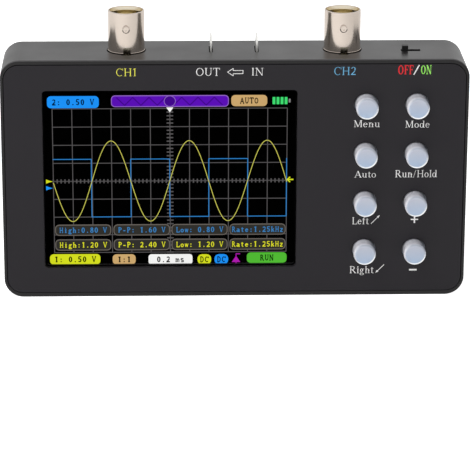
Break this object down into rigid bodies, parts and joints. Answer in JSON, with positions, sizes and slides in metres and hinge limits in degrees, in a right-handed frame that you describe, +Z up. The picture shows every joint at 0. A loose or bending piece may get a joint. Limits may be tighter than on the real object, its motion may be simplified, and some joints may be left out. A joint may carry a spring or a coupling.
{
  "type": "handheld oscilloscope",
  "caption": "Flat handheld oscilloscope with a wide screen, two rows-and-columns of round push buttons beside it, bayonet input jacks, signal tabs and a slide switch on the top edge.",
  "frame": {"origin": "middle of the bounding box's bottom: the housing's bottom edge on which it stands", "axes": "+X to the right seen from the front, +Y from the face to the back, +Z up"},
  "size_m": [0.1208, 0.0242, 0.0747],
  "materials": {
    "face_black": "fine moulded satin",
    "case_black": "smooth moulded satin with soft gloss",
    "window_clear": "clear acrylic, flush",
    "foam_black": "foam",
    "display_glass": "dark display surface",
    "tray_white": "white moulded",
    "ribbon_amber": "polyimide film",
    "nylon_white": "natural nylon",
    "board_green": "solder mask",
    "cap_milky": "milky translucent",
    "switch_black": "moulded",
    "steel_bright": "plated sheet",
    "nickel_warm": "satin nickel plate over brass",
    "insulator_cream": "PTFE",
    "contact_gold": "gold plated",
    "tinned_steel": "tinned",
    "knob_black": "moulded",
    "cell_foil": "pouch foil",
    "tape_white": "tape",
    "wire_red": "silicone",
    "wire_black": "silicone",
    "chip_black": "moulded epoxy",
    "relay_orange": "moulded",
    "ceramic_tan": "ceramic",
    "screw_black": "black zinc"
  },
  "bodies": {
    "instrument": {"front_cover": "face_black", "back_cover": "case_black", "screen_window": "window_clear", "screen_gasket": "foam_black", "lcd_glass": "display_glass", "lcd_tray": "tray_white", "lcd_foam": "foam_black", "lcd_ribbon": "ribbon_amber", "ribbon_connector": "nylon_white", "main_board": "board_green", "tact_bodies": "switch_black", "tact_covers": "steel_bright", "jack_shell_left": "nickel_warm", "jack_shell_right": "nickel_warm", "jack_insulator_left": "insulator_cream", "jack_insulator_right": "insulator_cream", "jack_contact_left": "contact_gold", "jack_contact_right": "contact_gold", "tab_out": "tinned_steel", "tab_in": "tinned_steel", "power_switch_case": "steel_bright", "power_switch_base": "switch_black", "power_switch_pins": "tinned_steel", "port_shell": "steel_bright", "port_tongue": "switch_black", "battery_cell": "cell_foil", "battery_tape": "tape_white", "battery_wire_red": "wire_red", "battery_wire_black": "wire_black", "battery_plug": "nylon_white", "battery_socket": "nylon_white", "processor": "chip_black", "sampler_chips": "chip_black", "amplifier_chips": "chip_black", "input_relays": "relay_orange", "trim_capacitors": "nylon_white", "crystal": "steel_bright", "power_coil": "chip_black", "small_parts": "ceramic_tan", "case_screws": "screw_black", "board_screws": "steel_bright"},
    "button_menu": {"cap_menu": "cap_milky", "stem_menu": "switch_black"},
    "button_mode": {"cap_mode": "cap_milky", "stem_mode": "switch_black"},
    "button_auto": {"cap_auto": "cap_milky", "stem_auto": "switch_black"},
    "button_hold": {"cap_hold": "cap_milky", "stem_hold": "switch_black"},
    "button_left": {"cap_left": "cap_milky", "stem_left": "switch_black"},
    "button_plus": {"cap_plus": "cap_milky", "stem_plus": "switch_black"},
    "button_right": {"cap_right": "cap_milky", "stem_right": "switch_black"},
    "button_minus": {"cap_minus": "cap_milky", "stem_minus": "switch_black"},
    "power_knob": {"power_switch_knob": "knob_black"}
  },
  "joints": [
    {"name": "press_menu", "type": "slide", "parent": "instrument", "child": "button_menu", "axis": [0, 1, 0], "range_m": [0, 0.00025], "stiffness_N_per_m": 3000},
    {"name": "press_mode", "type": "slide", "parent": "instrument", "child": "button_mode", "axis": [0, 1, 0], "range_m": [0, 0.00025], "stiffness_N_per_m": 3000},
    {"name": "press_auto", "type": "slide", "parent": "instrument", "child": "button_auto", "axis": [0, 1, 0], "range_m": [0, 0.00025], "stiffness_N_per_m": 3000},
    {"name": "press_hold", "type": "slide", "parent": "instrument", "child": "button_hold", "axis": [0, 1, 0], "range_m": [0, 0.00025], "stiffness_N_per_m": 3000},
    {"name": "press_left", "type": "slide", "parent": "instrument", "child": "button_left", "axis": [0, 1, 0], "range_m": [0, 0.00025], "stiffness_N_per_m": 3000},
    {"name": "press_plus", "type": "slide", "parent": "instrument", "child": "button_plus", "axis": [0, 1, 0], "range_m": [0, 0.00025], "stiffness_N_per_m": 3000},
    {"name": "press_right", "type": "slide", "parent": "instrument", "child": "button_right", "axis": [0, 1, 0], "range_m": [0, 0.00025], "stiffness_N_per_m": 3000},
    {"name": "press_minus", "type": "slide", "parent": "instrument", "child": "button_minus", "axis": [0, 1, 0], "range_m": [0, 0.00025], "stiffness_N_per_m": 3000},
    {"name": "power_slide", "type": "slide", "parent": "instrument", "child": "power_knob", "axis": [1, 0, 0], "range_m": [0, 0.003]}
  ]
}
